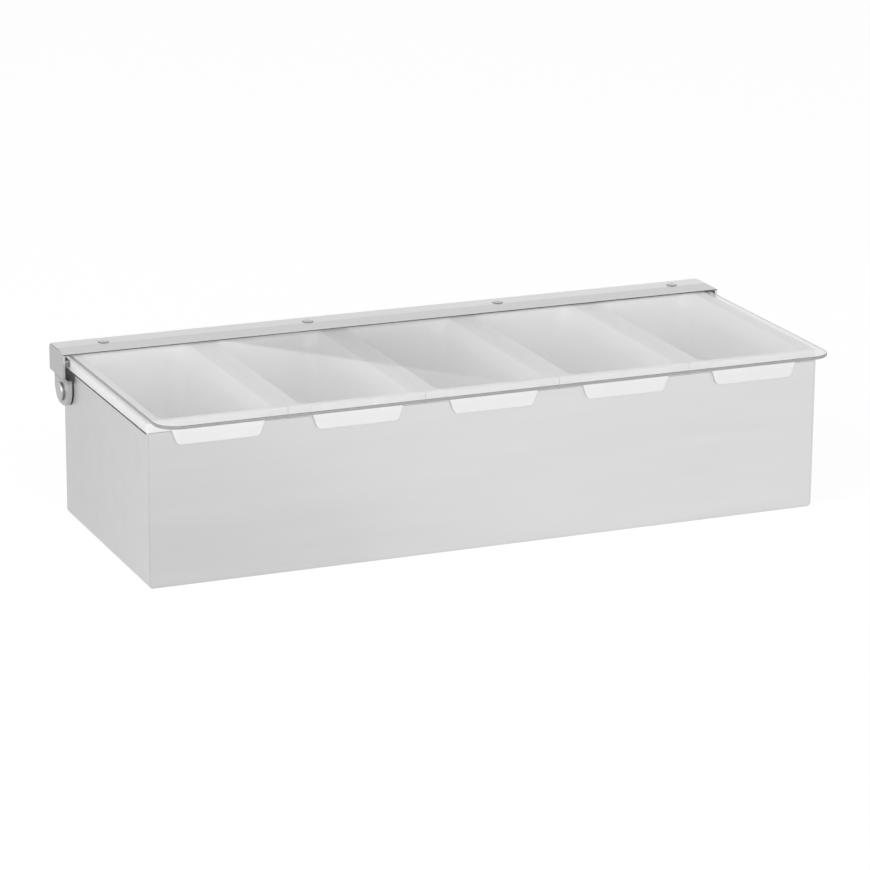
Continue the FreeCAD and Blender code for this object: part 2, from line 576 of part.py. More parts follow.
def pivot_pin(side, sign):
    """Headed hinge pin through ear, spacer and case, closed on a collar inside."""
    name = f"pivot_pin_{side}"
    body = new_body(name)
    body.setExpression("Placement.Base.y", PIN_Y)
    body.setExpression("Placement.Base.z", PIN_Z)
    mark = "" if sign > 0 else "-"
    head_in = f"({EAR_OUTER} + Sizes.axial_clearance)"
    head_out = f"({head_in} + Sizes.pin_dome)"
    tail_out = f"({HALF_LENGTH} - Sizes.case_sheet - Sizes.collar_sheet)"
    tail_in = f"({tail_out} - Sizes.pin_close)"
    shank, head, tail = "Sizes.pin_diameter / 2", "Sizes.pin_head / 2", "Sizes.pin_tail / 2"
    steps = ((tail_in, "0"), (tail_in, tail), (tail_out, tail), (tail_out, shank),
             (head_in, shank), (head_in, head), (head_out, head), (head_out, "0"))
    profile = outline(body, f"{name}_profile", "XY_Plane", "0", [(f"{mark}{x}", r) for x, r in steps])
    turned = body.newObject("PartDesign::Revolution", f"{name}_turned")
    turned.Profile = profile
    turned.ReferenceAxis = (profile, ["H_Axis"])
    turned.Angle = 360
    doc.recompute()
    fillet(body, f"{name}_head_edge", "Sizes.pin_head_round",
           edges_at(body.Tip.Shape, x=(f"{mark}{head_out}",)))
    return body


def pin_washer(name, sign, inner, outer, diameter):
    """Ring round a hinge pin, between two places along the pin."""
    start = inner if sign > 0 else f"-({outer})"
    length = f"{outer} - ({inner})"
    disc = cylinder(f"{name}_disc", diameter, length, (start, PIN_Y, PIN_Z))
    hole = cylinder(f"{name}_hole", PIN_HOLE, f"{length} + 2 * Sizes.overrun",
                    (f"{start} - Sizes.overrun", PIN_Y, PIN_Z))
    for solid in (disc, hole):
        solid.Placement.Rotation = FreeCAD.Rotation(FreeCAD.Vector(0, 1, 0), 90)
    ring = cut_out(name, disc, hole)
    ring.Label = name
    return ring


def make_parts():
    """Makes every sub-part of the holder."""
    parts = [case_wrap(), end_panel("front_panel", f"-({HALF_DEPTH} - Sizes.case_sheet)"),
             end_panel("rear_panel", HALF_DEPTH)]
    parts += [insert_tray(number) for number in range(1, TRAY_COUNT + 1)]
    parts += [lid_panel(), hinge_rail(), lid_rivets(), rivet_washers()]
    collar_out = f"({HALF_LENGTH} - Sizes.case_sheet)"
    for side, sign in (("left", -1), ("right", 1)):
        parts.append(hinge_ear(side, sign))
        parts.append(pivot_pin(side, sign))
        parts.append(pin_washer(f"spacer_washer_{side}", sign, HALF_LENGTH,
                                f"({EAR_INNER} - Sizes.axial_clearance)", "Sizes.spacer_diameter"))
        parts.append(pin_washer(f"pin_collar_{side}", sign, f"({collar_out} - Sizes.collar_sheet)",
                                collar_out, "Sizes.collar_diameter"))
    doc.recompute()
    return parts


def write_parts(parts):
    """Checks every object and every shape, then writes one file for each sub-part."""
    for item in doc.Objects:
        if "Invalid" in item.State or "Error" in item.State:
            raise RuntimeError(f"{item.Name} failed: {item.State}")
    for part in parts:
        if part.Shape.isNull() or not part.Shape.isValid():
            raise RuntimeError(f"{part.Label} has no valid shape")
    os.makedirs("parts", exist_ok=True)
    for part in parts:
        part.Shape.exportStep(f"parts/{part.Label}.step")
        print(f"{part.Label}: {len(part.Shape.Solids)} solid, {part.Shape.Volume:.1f} mm3")


write_parts(make_parts())
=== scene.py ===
"""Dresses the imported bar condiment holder: finishes, stage, light and camera."""

import logging
import math
from dataclasses import dataclass, field
from enum import Enum
from typing import Any

import bpy
from mathutils import Euler, Matrix, Vector


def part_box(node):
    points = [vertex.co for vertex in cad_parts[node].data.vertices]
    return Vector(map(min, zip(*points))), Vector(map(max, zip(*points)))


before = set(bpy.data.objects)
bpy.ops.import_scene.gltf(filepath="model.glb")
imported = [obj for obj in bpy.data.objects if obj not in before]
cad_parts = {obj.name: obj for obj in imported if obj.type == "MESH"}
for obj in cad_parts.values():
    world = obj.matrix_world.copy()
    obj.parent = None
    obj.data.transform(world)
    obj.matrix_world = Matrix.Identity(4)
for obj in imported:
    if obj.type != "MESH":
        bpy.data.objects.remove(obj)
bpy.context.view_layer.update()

LOG = logging.getLogger("condiment_holder")
MM = 0.001
Colour = tuple[float, float, float, float]
Span = tuple[float, float]
# Most of a noise lies between these two values
NOISE_LOW, NOISE_HIGH = 0.3, 0.7
# Share of open sky over a tight corner and over an open surface
CORNER_SKY, OPEN_SKY = 0.3, 0.95


class Axis(Enum):
    """Direction in the frame: along the case, from front to back, and up."""

    X = "X"
    Y = "Y"
    Z = "Z"


def linear(hex_colour: str) -> Colour:
    """Turns an sRGB hex colour into linear light.

    Args:
        hex_colour: Six hex digits, with or without a leading hash.

    Returns:
        Red, green, blue and a full alpha, in linear light.
    """
    digits = hex_colour.lstrip("#")
    channels = [int(digits[start:start + 2], 16) / 255 for start in (0, 2, 4)]
    light = [c / 12.92 if c <= 0.04045 else ((c + 0.055) / 1.055) ** 2.4 for c in channels]
    return light[0], light[1], light[2], 1.0


def add_node(tree: bpy.types.NodeTree, kind: str, inputs: dict[Any, Any] | None = None,
             **settings: Any) -> bpy.types.Node:
    """Adds a node with its settings, and sets or links its inputs.

    Args:
        tree: The node tree that takes the node.
        kind: The node's type name.
        inputs: Socket name or number to a value, or to a socket to link from.
        **settings: Attributes of the node itself.

    Returns:
        The new node.
    """
    node = tree.nodes.new(kind)
    for name, setting in settings.items():
        setattr(node, name, setting)
    for socket, given in (inputs or {}).items():
        if isinstance(given, bpy.types.NodeSocket):
            tree.links.new(given, node.inputs[socket])
        else:
            node.inputs[socket].default_value = given
    return node


def new_material(name: str) -> tuple[bpy.types.Material, bpy.types.NodeTree]:
    """Starts an empty node material.

    Args:
        name: The material's name.

    Returns:
        The material and its node tree.
    """
    material = bpy.data.materials.new(name)
    material.use_nodes = True
    material.node_tree.nodes.clear()
    return material, material.node_tree


def tone_ramp(tree: bpy.types.NodeTree, factor: bpy.types.NodeSocket, shade: str,
              tone: str) -> bpy.types.NodeSocket:
    """Spreads a noise factor between two tones.

    Args:
        tree: The material's node tree.
        factor: A noise socket, from 0 to 1.
        shade: Hex colour of the low values.
        tone: Hex colour of the high values.

    Returns:
        The colour socket.
    """
    ramp = add_node(tree, "ShaderNodeValToRGB", {0: factor})
    for element, place, colour in zip(ramp.color_ramp.elements, (NOISE_LOW, NOISE_HIGH), (shade, tone)):
        element.position = place
        element.color = linear(colour)
    return ramp.outputs["Color"]


def gloss_range(tree: bpy.types.NodeTree, factor: bpy.types.NodeSocket, middle: float,
                spread: float) -> bpy.types.NodeSocket:
    """Spreads a noise factor over a range of roughness.

    Args:
        tree: The material's node tree.
        factor: A noise socket, from 0 to 1.
        middle: Roughness in the middle of the range.
        spread: How far the roughness goes to each side.

    Returns:
        The roughness socket.
    """
    return add_node(tree, "ShaderNodeMapRange", {
        "Value": factor, "From Min": NOISE_LOW, "From Max": NOISE_HIGH,
        "To Min": middle - spread, "To Max": middle + spread}).outputs[0]


def scaled(tree: bpy.types.NodeTree, colour: bpy.types.NodeSocket, share: Any) -> bpy.types.NodeSocket:
    """Multiplies a colour by a number or a number socket."""
    return add_node(tree, "ShaderNodeVectorMath", {0: colour, "Scale": share}, operation="SCALE").outputs[0]


def across(tree: bpy.types.NodeTree, amount: bpy.types.NodeSocket, axis: Axis) -> bpy.types.NodeSocket:
    """Gives the size of one part of a vector, without its sign."""
    part = add_node(tree, "ShaderNodeSeparateXYZ", {0: amount}).outputs[axis.value]
    return add_node(tree, "ShaderNodeMath", {0: part}, operation="ABSOLUTE").outputs[0]


def painted_corner_shade(tree: bpy.types.NodeTree, reach_mm: float, share: float) -> bpy.types.NodeSocket:
    """Paints shade into the laps and corners where surfaces meet, by how little open sky they see.

    Args:
        tree: The material's node tree.
        reach_mm: How near another surface has to be.
        share: Share of the tone that is left in the deepest corners.

    Returns:
        A number socket that is 1 on open surfaces.
    """
    open_share = add_node(tree, "ShaderNodeAmbientOcclusion", {"Distance": reach_mm * MM}, samples=8)
    return add_node(tree, "ShaderNodeMapRange", {
        "Value": open_share.outputs["AO"], "From Min": CORNER_SKY, "From Max": OPEN_SKY,
        "To Min": share, "To Max": 1.0}).outputs[0]


@dataclass(frozen=True)
class BrushedStainless:
    """Belt-brushed stainless sheet: an even, light, silky grey with hardly seen streaks along the grain.

    The real scratches are about 0.1 mm wide. They are drawn wider, because that is too fine to show.
    """

    name: str = "stainless_sheet_brushed"
    tone: str = "#DEDEDE"
    streak_tone: str = "#DBDBDB"
    roughness: float = 0.3
    roughness_spread: float = 0.02
    grain: Axis = Axis.X
    scratch_width_mm: float = 0.4
    scratch_length_mm: float = 40.0
    streak_width_mm: float = 14.0
    streak_length_mm: float = 120.0
    scratch_depth_mm: float = 0.001
    scratch_relief: float = 0.2
    crevice_mm: float = 3.0
    crevice_shade_share: float = 0.9

    def stretched(self, width_mm: float, length_mm: float) -> tuple[float, ...]:
        """Gives mapping scales for marks of a width and length along the grain."""
        return tuple(1 / ((length_mm if axis is self.grain else width_mm) * MM) for axis in Axis)

    def shade(self, tree: bpy.types.NodeTree, colour: bpy.types.NodeSocket) -> bpy.types.NodeSocket:
        """Leaves the sheet's tone even. The case and rail sheets paint light and shade into it.

        Args:
            tree: The material's node tree.
            colour: The streaked tone.

        Returns:
            The colour socket of the shader.
        """
        return colour

    def build(self) -> bpy.types.Material:
        """Builds the material.

        Returns:
            The finished material.
        """
        material, tree = new_material(self.name)
        place = add_node(tree, "ShaderNodeTexCoord").outputs["Object"]
        fine = add_node(tree, "ShaderNodeMapping", {
            "Vector": place, "Scale": self.stretched(self.scratch_width_mm, self.scratch_length_mm)})
        broad = add_node(tree, "ShaderNodeMapping", {
            "Vector": place, "Scale": self.stretched(self.streak_width_mm, self.streak_length_mm)})
        scratches = add_node(tree, "ShaderNodeTexNoise", {
            "Vector": fine.outputs[0], "Scale": 1.0, "Detail": 3.0, "Roughness": 0.6}).outputs["Fac"]
        streaks = add_node(tree, "ShaderNodeTexNoise", {
            "Vector": broad.outputs[0], "Scale": 1.0, "Detail": 2.0, "Roughness": 0.5}).outputs["Fac"]
        relief = add_node(tree, "ShaderNodeBump", {
            "Height": scratches, "Strength": self.scratch_relief, "Distance": self.scratch_depth_mm * MM})
        colour = self.shade(tree, tone_ramp(tree, streaks, self.streak_tone, self.tone))
        # Painted shade: the tone darkens in laps and corners that see little open sky
        dimmed = scaled(tree, colour, painted_corner_shade(tree, self.crevice_mm, self.crevice_shade_share))
        shader = add_node(tree, "ShaderNodeBsdfPrincipled", {
            "Base Color": dimmed, "Metallic": 1.0, "Normal": relief.outputs[0],
            "Roughness": gloss_range(tree, scratches, self.roughness, self.roughness_spread)})
        add_node(tree, "ShaderNodeOutputMaterial", {"Surface": shader.outputs[0]})
        return material


@dataclass(frozen=True)
class CaseStainless(BrushedStainless):
    """Brushed sheet of the case, its sides painted lighter towards the front, up to a painted highlight on
    the corner.

    A painted shade line runs beside the corner on the front, where the panel laps over the sides.
    """

    half_length: float = 0.0
    front: float = 0.0
    side_back_share: float = 0.965
    side_front_share: float = 1.06
    side_run_mm: float = 130.0
    corner_highlight_mm: float = 0.9
    corner_highlight_share: float = 1.05
    lap_mm: float = 1.1
    lap_share: float = 0.93
    side_facing: Span = (0.5, 0.8)

    def shade(self, tree: bpy.types.NodeTree, colour: bpy.types.NodeSocket) -> bpy.types.NodeSocket:
        """Paints light into the sides by their depth, and shade and a highlight into the front beside its
        corners.

        Args:
            tree: The material's node tree.
            colour: The streaked tone.

        Returns:
            The colour socket of the shader.
        """
        coordinates = add_node(tree, "ShaderNodeTexCoord").outputs
        place = add_node(tree, "ShaderNodeSeparateXYZ", {0: coordinates["Object"]}).outputs
        # Painted light: the sides are lighter towards the front
        side = add_node(tree, "ShaderNodeMapRange", {
            "Value": place["Y"], "From Min": self.front, "From Max": self.front + self.side_run_mm * MM,
            "To Min": self.side_front_share, "To Max": self.side_back_share})
        length = across(tree, coordinates["Object"], Axis.X)
        # Painted shade line beside each front corner, then a painted highlight on the corner itself
        highlight_start = self.half_length - self.corner_highlight_mm * MM
        lap = add_node(tree, "ShaderNodeMapRange", {
            "Value": length, "From Min": highlight_start - self.lap_mm * MM, "From Max": highlight_start,
            "To Min": 1.0, "To Max": self.lap_share}, interpolation_type="SMOOTHSTEP")
        corner = add_node(tree, "ShaderNodeMapRange", {
            "Value": length, "From Min": highlight_start, "From Max": self.half_length,
            "To Min": lap.outputs[0], "To Max": self.corner_highlight_share}, interpolation_type="SMOOTHSTEP")
        level = add_node(tree, "ShaderNodeMapRange", {
            "Value": across(tree, coordinates["Normal"], Axis.X), "From Min": self.side_facing[0],
            "From Max": self.side_facing[1], "To Min": corner.outputs[0], "To Max": side.outputs[0]})
        return scaled(tree, colour, level.outputs[0])


@dataclass(frozen=True)
class FoldedRailStainless(BrushedStainless):
    """Brushed sheet of the rail and its ears, with painted shade on the sloped front half and on the folded
    ends.

    The strip's front edge face has a painted shade line under a painted highlight on its arris, the folds a
    painted shade line, and an ear a painted shadow just under its flap.
    """

    name: str = "stainless_rail_brushed"
    front: float = 0.0
    top: float = 0.0
    slope_mm: float = 15.0
    slope_soft_mm: float = 1.2
    arris_mm: float = 1.0
    sheet_mm: float = 1.6
    front_share: float = 0.86
    end_share: float = 0.78
    fold_share: float = 0.52
    edge_shade_share: float = 0.2
    fold_facing: Span = (0.35, 0.6)
    end_facing: Span = (0.7, 0.95)
    forward_facing: float = -0.7
    crevice_shade_share: float = 0.65
    lap: float = -1.0
    lap_mm: float = 3.5
    lap_share: float = 0.45

    def shade(self, tree: bpy.types.NodeTree, colour: bpy.types.NodeSocket) -> bpy.types.NodeSocket:
        """Paints shade into the strip by its depth, and into the folds, ends and front edge by where they
        face.

        Args:
            tree: The material's node tree.
            colour: The streaked tone.

        Returns:
            The colour socket of the shader.
        """
        coordinates = add_node(tree, "ShaderNodeTexCoord").outputs
        place = add_node(tree, "ShaderNodeSeparateXYZ", {0: coordinates["Object"]}).outputs
        facing = add_node(tree, "ShaderNodeSeparateXYZ", {0: coordinates["Normal"]}).outputs
        # Painted highlight along the front arris, then painted shade over the sloped front half
        arris = add_node(tree, "ShaderNodeMapRange", {
            "Value": place["Y"], "From Min": self.front + self.arris_mm * MM / 2,
            "From Max": self.front + self.arris_mm * MM, "To Min": 1.0, "To Max": self.front_share})
        crease, soft = self.front + self.slope_mm * MM, self.slope_soft_mm * MM
        strip = add_node(tree, "ShaderNodeMapRange", {
            "Value": place["Y"], "From Min": crease - soft, "From Max": crease + soft,
            "To Min": arris.outputs[0], "To Max": 1.0}, interpolation_type="SMOOTHSTEP")
        # Painted shade on the folds and on the sideways ends
        sideways = across(tree, coordinates["Normal"], Axis.X)
        fold = add_node(tree, "ShaderNodeMapRange", {
            "Value": sideways, "From Min": self.fold_facing[0], "From Max": self.fold_facing[1],
            "To Min": strip.outputs[0], "To Max": self.fold_share}, interpolation_type="SMOOTHSTEP")
        end = add_node(tree, "ShaderNodeMapRange", {
            "Value": sideways, "From Min": self.end_facing[0], "From Max": self.end_facing[1],
            "To Min": fold.outputs[0], "To Max": self.end_share}, interpolation_type="SMOOTHSTEP")
        # Painted shade line on the strip's front edge face
        high = add_node(tree, "ShaderNodeMath", {
            0: place["Z"], 1: self.top - self.sheet_mm * MM}, operation="GREATER_THAN")
        forward = add_node(tree, "ShaderNodeMath", {
            0: facing["Y"], 1: self.forward_facing}, operation="LESS_THAN")
        shaded_edge = add_node(tree, "ShaderNodeMath", {
            0: high.outputs[0], 1: forward.outputs[0]}, operation="MULTIPLY")
        level = add_node(tree, "ShaderNodeMapRange", {
            "Value": shaded_edge.outputs[0], "To Min": end.outputs[0], "To Max": self.edge_shade_share})
        return scaled(tree, scaled(tree, colour, level.outputs[0]), self.lap_shade(tree, place["Z"]))

    def lap_shade(self, tree: bpy.types.NodeTree, height: bpy.types.NodeSocket) -> Any:
        """Paints a shadow on an ear just under the flap that laps over it.

        Args:
            tree: The material's node tree.
            height: Height above the base.

        Returns:
            The share of the tone that is left, a plain 1 where nothing laps over the sheet.
        """
        if self.lap < 0:
            return 1.0
        near = add_node(tree, "ShaderNodeMapRange", {
            "Value": height, "From Min": self.lap - self.lap_mm * MM, "From Max": self.lap,
            "To Min": 1.0, "To Max": self.lap_share})
        return near.outputs[0]


@dataclass(frozen=True)
class MouldedPolypropylene:
    """White polypropylene from a lightly sparked mould: milky, with a soft sheen and a faint orange peel."""

    name: str = "polypropylene_white_moulded"
    tone: str = "#F6F6F6"
    cloud_tone: str = "#F4F4F4"
    milk_weight: float = 0.3
    milk_mm: float = 6.0
    roughness: float = 0.4
    roughness_spread: float = 0.05
    ior: float = 1.49
    peel_mm: float = 1.6
    peel_depth_mm: float = 0.01
    peel_relief: float = 0.3
    cloud_mm: float = 40.0

    def build(self) -> bpy.types.Material:
        """Builds the material.

        Returns:
            The finished material.
        """
        material, tree = new_material(self.name)
        place = add_node(tree, "ShaderNodeTexCoord").outputs["Object"]
        clouds = add_node(tree, "ShaderNodeTexNoise", {
            "Vector": place, "Scale": 1 / (self.cloud_mm * MM), "Detail": 2.0}).outputs["Fac"]
        peel = add_node(tree, "ShaderNodeTexNoise", {
            "Vector": place, "Scale": 1 / (self.peel_mm * MM), "Detail": 2.0}).outputs["Fac"]
        relief = add_node(tree, "ShaderNodeBump", {
            "Height": peel, "Strength": self.peel_relief, "Distance": self.peel_depth_mm * MM})
        shader = add_node(tree, "ShaderNodeBsdfPrincipled", {
            "Base Color": tone_ramp(tree, clouds, self.cloud_tone, self.tone), "IOR": self.ior,
            "Roughness": gloss_range(tree, peel, self.roughness, self.roughness_spread),
            "Subsurface Weight": self.milk_weight, "Subsurface Radius": (1.0, 1.0, 1.0),
            "Subsurface Scale": self.milk_mm * MM, "Normal": relief.outputs[0]})
        add_node(tree, "ShaderNodeOutputMaterial", {"Surface": shader.outputs[0]})
        return material


@dataclass(frozen=True)
class ClearPolycarbonate:
    """Clear polycarbonate sheet: a mirror gloss with a trace of wiping haze; its polished edges are a painted
    grey shade.
    """

    name: str = "polycarbonate_sheet_clear"
    tone: str = "#E7E7E7"
    ior: float = 1.49
    roughness: float = 0.005
    haze: float = 0.01
    haze_mm: float = 30.0
    edge_tone: str = "#ABABAB"
    edge_shade: str = "#9F9F9F"
    edge_roughness: float = 0.3
    edge_mark_mm: float = 1.2
    flat_facing: Span = (0.6, 0.9)

    def build(self) -> bpy.types.Material:
        """Builds the material.

        Returns:
            The finished material.
        """
        material, tree = new_material(self.name)
        coordinates = add_node(tree, "ShaderNodeTexCoord").outputs
        wiping = add_node(tree, "ShaderNodeTexNoise", {
            "Vector": coordinates["Object"], "Scale": 1 / (self.haze_mm * MM), "Detail": 4.0}).outputs["Fac"]
        sheet = add_node(tree, "ShaderNodeBsdfPrincipled", {
            "Base Color": linear(self.tone), "IOR": self.ior, "Transmission Weight": 1.0,
            "Roughness": gloss_range(tree, wiping, self.roughness + self.haze / 2, self.haze / 2)})
        marks = add_node(tree, "ShaderNodeTexNoise", {
            "Vector": coordinates["Object"], "Scale": 1 / (self.edge_mark_mm * MM), "Detail": 2.0})
        # Painted shade: the edge faces are an opaque grey, not clear sheet
        edge = add_node(tree, "ShaderNodeBsdfPrincipled", {
            "Base Color": tone_ramp(tree, marks.outputs["Fac"], self.edge_shade, self.edge_tone),
            "IOR": self.ior, "Roughness": self.edge_roughness})
        flat = add_node(tree, "ShaderNodeMapRange", {
            "Value": across(tree, coordinates["Normal"], Axis.Z), "From Min": self.flat_facing[0],
            "From Max": self.flat_facing[1]})
        both = add_node(tree, "ShaderNodeMixShader", {
            0: flat.outputs[0], 1: edge.outputs[0], 2: sheet.outputs[0]})
        add_node(tree, "ShaderNodeOutputMaterial", {"Surface": both.outputs[0]})
        return material


@dataclass(frozen=True)
class PlainSteel:
    """Stainless fasteners, tumbled after heading: a dull bright grey with tiny dents.

    Upright ones may carry a painted shade round the foot of their head, where it meets the sheet.
    """

    name: str
    tone: str
    shade: str
    roughness: float
    roughness_spread: float = 0.08
    dent_mm: float = 0.8
    dent_depth_mm: float = 0.01
    dent_relief: float = 0.3
    crevice_mm: float = 2.0
    crevice_shade_share: float = 0.35
    foot: float = 0.0
    foot_mm: float = 0.7
    foot_share: float = 1.0

    def build(self) -> bpy.types.Material:
        """Builds the material.

        Returns:
            The finished material.
        """
        material, tree = new_material(self.name)
        place = add_node(tree, "ShaderNodeTexCoord").outputs["Object"]
        dents = add_node(tree, "ShaderNodeTexNoise", {
            "Vector": place, "Scale": 1 / (self.dent_mm * MM), "Detail": 3.0}).outputs["Fac"]
        relief = add_node(tree, "ShaderNodeBump", {
            "Height": dents, "Strength": self.dent_relief, "Distance": self.dent_depth_mm * MM})
        height = add_node(tree, "ShaderNodeSeparateXYZ", {0: place}).outputs["Z"]
        # Painted shade round the foot of an upright head
        foot = add_node(tree, "ShaderNodeMapRange", {
            "Value": height, "From Min": self.foot, "From Max": self.foot + self.foot_mm * MM,
            "To Min": self.foot_share, "To Max": 1.0})
        colour = scaled(tree, tone_ramp(tree, dents, self.shade, self.tone), foot.outputs[0])
        # Painted shade: the tone darkens in corners, such as round the foot of a head
        dimmed = scaled(tree, colour, painted_corner_shade(tree, self.crevice_mm, self.crevice_shade_share))
        shader = add_node(tree, "ShaderNodeBsdfPrincipled", {
            "Base Color": dimmed, "Metallic": 1.0,
            "Roughness": gloss_range(tree, dents, self.roughness, self.roughness_spread),
            "Normal": relief.outputs[0]})
        add_node(tree, "ShaderNodeOutputMaterial", {"Surface": shader.outputs[0]})
        return material


def dress(node: str, material: bpy.types.Material) -> None:
    """Gives a CAD node its finish.

    Args:
        node: The node's name.
        material: The finish.
    """
    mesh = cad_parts[node].data
    mesh.materials.clear()
    mesh.materials.append(material)
    LOG.info("%s: %s", node, material.name)


@dataclass
class SteelCase:
    """Folded case with its hinge pins and their washers."""

    panels: tuple[str, ...] = ("front_panel", "rear_panel", "case_wrap")
    pins: tuple[str, ...] = ("pivot_pin_left", "pivot_pin_right")
    washers: tuple[str, ...] = ("spacer_washer_left", "spacer_washer_right",
                                "pin_collar_left", "pin_collar_right")

    def build(self, pin_steel: bpy.types.Material, washer_steel: bpy.types.Material) -> None:
        """Dresses the case.

        Args:
            pin_steel: Finish of the pins.
            washer_steel: Finish of the washers and collars.
        """
        low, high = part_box("front_panel")
        material = CaseStainless("stainless_case_brushed", half_length=high.x, front=low.y).build()
        for node in self.panels:
            dress(node, material)
        for node in self.pins:
            dress(node, pin_steel)
        for node in self.washers:
            dress(node, washer_steel)


@dataclass
class TrayRow:
    """Row of five lift-out trays."""

    plastic: MouldedPolypropylene = field(default_factory=MouldedPolypropylene)
    count: int = 5

    def build(self) -> None:
        """Dresses the trays."""
        material = self.plastic.build()
        for number in range(1, self.count + 1):
            dress(f"insert_{number}", material)


@dataclass
class Lid:
    """Clear lid on its riveted rail and ears."""

    sheet: ClearPolycarbonate = field(default_factory=ClearPolycarbonate)
    ears: tuple[str, ...] = ("hinge_ear_left", "hinge_ear_right")

    def build(self, washer_steel: bpy.types.Material) -> None:
        """Dresses the lid.

        Args:
            washer_steel: Finish of the washers under the sheet.
        """
        dress("lid_panel", self.sheet.build())
        # The sheet and the rail over it keep no light from the trays, which are evenly lit under them
        for node in ("lid_panel", "hinge_rail"):
            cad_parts[node].visible_shadow = False
            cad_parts[node].visible_diffuse = False
        low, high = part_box("hinge_rail")
        dress("hinge_rail", FoldedRailStainless(front=low.y, top=high.z).build())
        ear = FoldedRailStainless("stainless_ear_brushed", front=low.y, top=high.z, lap=low.z).build()
        for node in self.ears:
            dress(node, ear)
        # The rivet heads take a painted shade round their foot
        rivet = PlainSteel("stainless_rivet_tumbled", "#CFCFCF", "#C4C4C4", 0.3, foot=high.z, foot_share=0.2)
        dress("lid_rivets", rivet.build())
        dress("rivet_washers", washer_steel)


@dataclass(frozen=True)
class Lamp:
    """Square soft lamp that is aimed at the object."""

    name: str
    power: float
    size: float
    place: tuple[float, float, float]

    def build(self) -> None:
        """Hangs the lamp."""
        light = bpy.data.lights.new(self.name, "AREA")
        light.shape = "SQUARE"
        light.size = self.size
        light.energy = self.power
        holder = bpy.data.objects.new(self.name, light)
        holder.location = self.place
        holder.rotation_euler = (-Vector(self.place)).to_track_quat("-Z", "Y").to_euler()
        bpy.context.scene.collection.objects.link(holder)


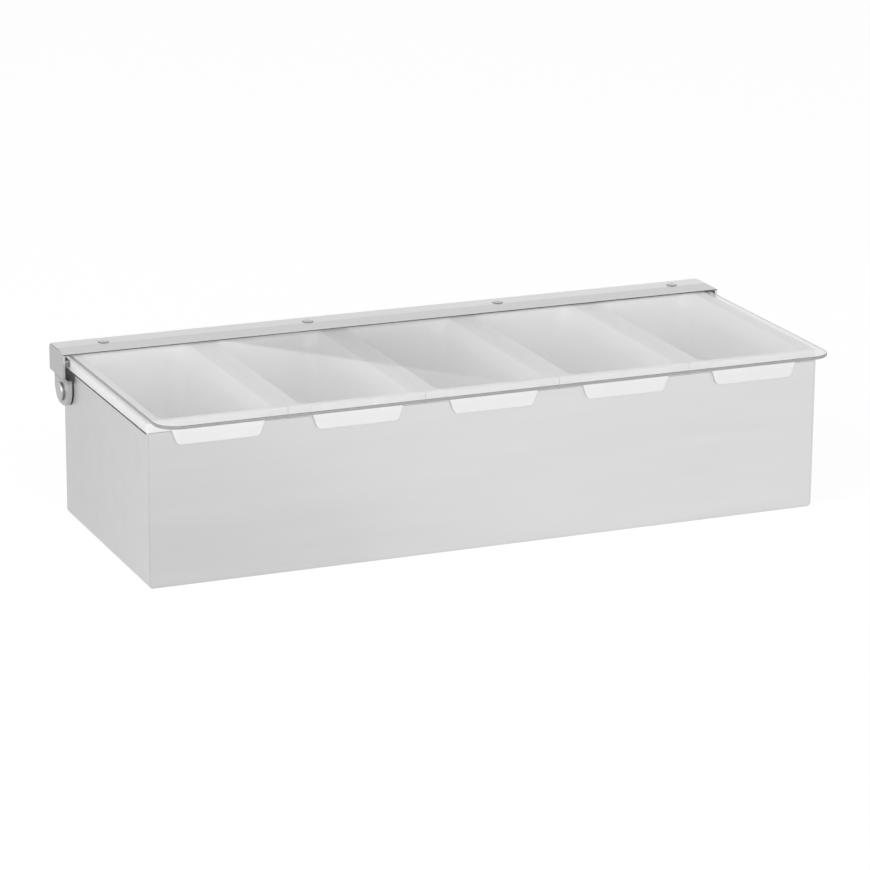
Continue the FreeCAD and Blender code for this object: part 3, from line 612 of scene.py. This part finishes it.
@dataclass
class Studio:
    """White floor, soft studio light and the camera of the photograph."""

    floor_size: float = 14.0
    floor_tone: str = "#EBEBEB"
    shadow_share: float = 0.17
    floor_glow: float = 0.89
    floor_shine_left: float = 0.82
    floor_shine_right: float = 0.965
    floor_shine_span: Span = (-0.25, 0.1)
    sky_horizon: float = 0.84
    sky_zenith: float = 0.48
    sky_shine: float = 0.95
    flag_drop: float = 0.6
    flag_edge: tuple[float, float, float] = (0.2284, 0.192, -0.9545)
    flag_soft: float = 0.0003
    flag_fade: Span = (0.34, 0.41)
    flag_foot: Span = (0.22, 0.235)
    lamps: tuple[Lamp, ...] = (Lamp("left_softbox", 25.0, 2.0, (-2.2, -1.0, 1.5)),
                               Lamp("front_softbox", 22.0, 2.0, (0.4, -2.9, 1.0)))
    camera_place_mm: tuple[float, float, float] = (-909.72, -2150.04, 742.65)
    pitch: float = 0.288308
    yaw: float = 0.398574
    roll: float = 0.006132
    focal_px: float = 3763.3
    photo_px: float = 870.0
    film_mm: float = 36.0
    view_reach: float = 50.0

    def seen_rays(self, tree: bpy.types.NodeTree) -> tuple[bpy.types.NodeSocket, bpy.types.NodeSocket]:
        """Adds switches for the rays that show the background and for those that mirror it.

        Args:
            tree: The node tree of the floor or the world.

        Returns:
            A socket that is 1 for camera and transmission rays, and one that is 1 for glossy rays.
        """
        path = add_node(tree, "ShaderNodeLightPath").outputs
        seen = add_node(tree, "ShaderNodeMath", {
            0: path["Is Camera Ray"], 1: path["Is Transmission Ray"]}, operation="MAXIMUM")
        return seen.outputs[0], path["Is Glossy Ray"]

    def build_world(self) -> None:
        """Lights the scene from all round, brighter near the horizon, with a plain white background.

        What the lid mirrors is a bright room with one dark flag, whose straight edge crosses the sheet.
        """
        world = bpy.data.worlds.new("studio")
        bpy.context.scene.world = world
        world.use_nodes = True
        tree = world.node_tree
        tree.nodes.clear()
        direction = add_node(tree, "ShaderNodeTexCoord").outputs["Generated"]
        parts = add_node(tree, "ShaderNodeSeparateXYZ", {0: direction}).outputs
        sky = add_node(tree, "ShaderNodeMapRange", {
            "Value": parts["Z"], "To Min": self.sky_horizon, "To Max": self.sky_zenith})
        foot = add_node(tree, "ShaderNodeMapRange", {
            "Value": parts["Z"], "From Min": self.flag_foot[0], "From Max": self.flag_foot[1],
            "To Max": self.flag_drop})
        side = add_node(tree, "ShaderNodeVectorMath", {
            0: direction, 1: self.flag_edge}, operation="DOT_PRODUCT")
        flag = add_node(tree, "ShaderNodeMapRange", {
            "Value": side.outputs["Value"], "From Min": -self.flag_soft, "From Max": self.flag_soft,
            "To Max": foot.outputs[0]})
        low, high = self.flag_fade
        faded = add_node(tree, "ShaderNodeMapRange", {
            "Value": parts["X"], "From Min": low, "From Max": high,
            "To Min": flag.outputs[0], "To Max": 0.0}, interpolation_type="SMOOTHSTEP")
        shine = add_node(tree, "ShaderNodeMath", {
            0: self.sky_shine, 1: faded.outputs[0]}, operation="SUBTRACT")
        seen, glossy = self.seen_rays(tree)
        mirrored = add_node(tree, "ShaderNodeMapRange", {
            "Value": glossy, "To Min": sky.outputs[0], "To Max": shine.outputs[0]})
        level = add_node(tree, "ShaderNodeMapRange", {
            "Value": seen, "To Min": mirrored.outputs[0], "To Max": 1.0})
        light = add_node(tree, "ShaderNodeBackground", {
            "Color": (1.0, 1.0, 1.0, 1.0), "Strength": level.outputs[0]})
        add_node(tree, "ShaderNodeOutputWorld", {"Surface": light.outputs[0]})

    def build_floor(self) -> None:
        """Lays the white floor, which keeps a faint shadow and mirrors a little darker on the left."""
        bpy.ops.object.select_all(action="DESELECT")
        bpy.ops.mesh.primitive_plane_add(size=self.floor_size)
        floor = bpy.context.active_object
        floor.name = "studio_floor"
        material, tree = new_material("floor_white_paper")
        seen, glossy = self.seen_rays(tree)
        white = linear(self.floor_tone)
        share = add_node(tree, "ShaderNodeMapRange", {
            "Value": seen, "To Min": 1.0, "To Max": self.shadow_share})
        colour = add_node(tree, "ShaderNodeVectorMath", {
            0: white[:3], "Scale": share.outputs[0]}, operation="SCALE")
        matt = add_node(tree, "ShaderNodeBsdfDiffuse", {"Color": colour.outputs[0]})
        glow = add_node(tree, "ShaderNodeMath", {0: seen, 1: self.floor_glow}, operation="MULTIPLY")
        light = add_node(tree, "ShaderNodeEmission", {"Strength": glow.outputs[0]})
        paper = add_node(tree, "ShaderNodeAddShader", {0: matt.outputs[0], 1: light.outputs[0]})
        place = add_node(tree, "ShaderNodeTexCoord").outputs["Object"]
        low, high = self.floor_shine_span
        shine = add_node(tree, "ShaderNodeMapRange", {
            "Value": add_node(tree, "ShaderNodeSeparateXYZ", {0: place}).outputs["X"],
            "From Min": low, "From Max": high, "To Min": self.floor_shine_left,
            "To Max": self.floor_shine_right}, interpolation_type="SMOOTHSTEP")
        mirrored = add_node(tree, "ShaderNodeEmission", {"Strength": shine.outputs[0]})
        both = add_node(tree, "ShaderNodeMixShader", {0: glossy, 1: paper.outputs[0], 2: mirrored.outputs[0]})
        add_node(tree, "ShaderNodeOutputMaterial", {"Surface": both.outputs[0]})
        floor.data.materials.append(material)

    def build_camera(self) -> None:
        """Sets the camera to the photograph's place, direction and lens."""
        lens = bpy.data.cameras.new("photo_camera")
        lens.sensor_width = self.film_mm
        lens.lens = self.focal_px / self.photo_px * self.film_mm
        lens.clip_end = self.view_reach
        camera = bpy.data.objects.new("photo_camera", lens)
        turn = Euler((math.pi / 2 - self.pitch, 0.0, -self.yaw)).to_matrix()
        turn = turn @ Matrix.Rotation(self.roll, 3, "Z")
        place = Vector(self.camera_place_mm) * MM
        camera.matrix_world = Matrix.Translation(place) @ turn.to_4x4()
        bpy.context.scene.collection.objects.link(camera)
        bpy.context.scene.camera = camera

    def build(self) -> None:
        """Sets up the stage."""
        self.build_world()
        self.build_floor()
        for lamp in self.lamps:
            lamp.build()
        self.build_camera()
        bpy.context.scene.view_settings.view_transform = "Standard"


def main() -> None:
    """Builds the stage and dresses every sub-assembly in order."""
    logging.basicConfig(level=logging.INFO, format="%(message)s")
    Studio().build()
    pin_steel = PlainSteel("stainless_pin_tumbled", "#D2D2D2", "#C6C6C6", 0.3).build()
    washer_steel = PlainSteel("stainless_washer_plain", "#C3C3C3", "#B4B4B4", 0.38).build()
    SteelCase().build(pin_steel, washer_steel)
    TrayRow().build()
    Lid().build(washer_steel)


if __name__ == "__main__":
    main()
